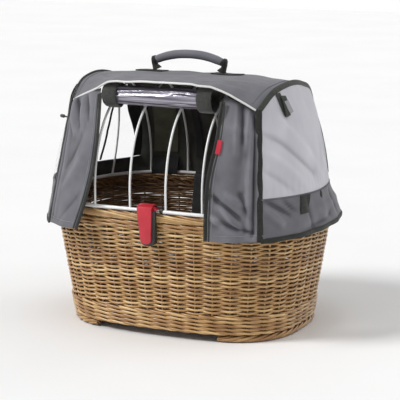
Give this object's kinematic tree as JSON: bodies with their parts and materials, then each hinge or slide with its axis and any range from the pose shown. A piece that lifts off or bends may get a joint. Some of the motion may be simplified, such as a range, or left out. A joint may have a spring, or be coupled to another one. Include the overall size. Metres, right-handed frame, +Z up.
{
  "type": "dog bicycle basket",
  "caption": "Wicker dog carrier for a bicycle rack: oval tub, domed white wire cage, zipped cloth hood with carry handle and front latch.",
  "frame": {"origin": "middle of the bottom of the box round the part, on the ground plane under the feet", "axes": "+X along the long side to the right end, -Y to the doorway and the latch, +Z up"},
  "size_m": [0.4954, 0.3986, 0.4657],
  "materials": {
    "wicker": "varnished willow rods",
    "white_wire": "smooth white plastic coating",
    "grey_cloth": "matt woven nylon",
    "light_cloth": "thin soft cloth",
    "dark_web": "ribbed webbing",
    "black_cloth": "matt tape",
    "olive_lining": "matt lining",
    "window_foil": "clear film, rolled up",
    "reflective_piping": "satin reflective cord",
    "red_plastic": "moulded",
    "red_cloth": "bare woven tab",
    "black_plastic": "moulded"
  },
  "bodies": {
    "basket": {"wicker_wall": "wicker", "rim_border": "wicker", "bottom_wale": "wicker", "wicker_base": "wicker", "foot_border_right": "wicker", "foot_border_left": "wicker", "rack_plate": "black_plastic", "rear_skirt": "grey_cloth", "hinge_strap_right": "black_cloth", "hinge_strap_left": "black_cloth", "latch_base": "black_plastic"},
    "cage": {"ring_wire": "white_wire", "hoop_1": "white_wire", "hoop_2": "white_wire", "hoop_3": "white_wire", "hoop_4": "white_wire", "hoop_5": "white_wire", "hoop_6": "white_wire", "end_hoop_right": "white_wire", "end_hoop_left": "white_wire", "ridge_wire": "white_wire", "roof_panel": "grey_cloth", "back_panel": "grey_cloth", "side_panel_right": "light_cloth", "side_panel_left": "light_cloth", "side_skirt_right": "grey_cloth", "side_skirt_left": "grey_cloth", "arch_binding_right": "dark_web", "arch_binding_left": "dark_web", "corner_binding_right": "dark_web", "corner_binding_left": "dark_web", "hem_binding_right": "dark_web", "hem_binding_left": "dark_web", "roof_piping": "reflective_piping", "back_patch_right": "olive_lining", "back_patch_left": "olive_lining", "back_tape_right": "black_cloth", "back_tape_left": "black_cloth", "anchor_tab_right": "black_cloth", "anchor_tab_left": "black_cloth", "side_strap_right": "dark_web", "side_strap_left": "dark_web", "skirt_tab_right": "dark_web", "skirt_tab_left": "dark_web", "window_roll": "window_foil", "roll_strap_right": "dark_web", "roll_strap_left": "dark_web", "handle_patch_right": "dark_web", "handle_patch_left": "dark_web"},
    "carry_handle": {"handle_end_right": "dark_web", "handle_end_left": "dark_web", "handle_grip": "grey_cloth"},
    "left_flap": {"left_flap": "grey_cloth", "left_flap_zip": "black_cloth"},
    "right_flap": {"right_flap": "grey_cloth", "right_flap_zip": "black_cloth", "flap_tab": "red_cloth"},
    "latch_lever": {"latch_lever": "red_plastic"}
  },
  "joints": [
    {"name": "cage_tip", "type": "hinge", "parent": "basket", "child": "cage", "pos_m": [0, 0.178, 0.2205], "axis": [-1, 0, 0], "range_deg": [0, 90]},
    {"name": "handle_swing", "type": "hinge", "parent": "cage", "child": "carry_handle", "pos_m": [-0.01, 0, 0.4413], "axis": [1, 0, 0], "range_deg": [-80, 80], "stiffness_Nm_per_rad": 0.05},
    {"name": "left_flap_swing", "type": "hinge", "parent": "cage", "child": "left_flap", "pos_m": [-0.17349, -0.12392, 0.379], "axis": [-0.1064, -0.208, -0.9723], "range_deg": [0, 110]},
    {"name": "right_flap_swing", "type": "hinge", "parent": "cage", "child": "right_flap", "pos_m": [0.17349, -0.12392, 0.379], "axis": [-0.1064, 0.208, 0.9723], "range_deg": [0, 110]},
    {"name": "latch_swing", "type": "hinge", "parent": "cage", "child": "latch_lever", "pos_m": [0.003, -0.178, 0.2205], "axis": [-1, 0, 0], "range_deg": [0, 90]}
  ]
}
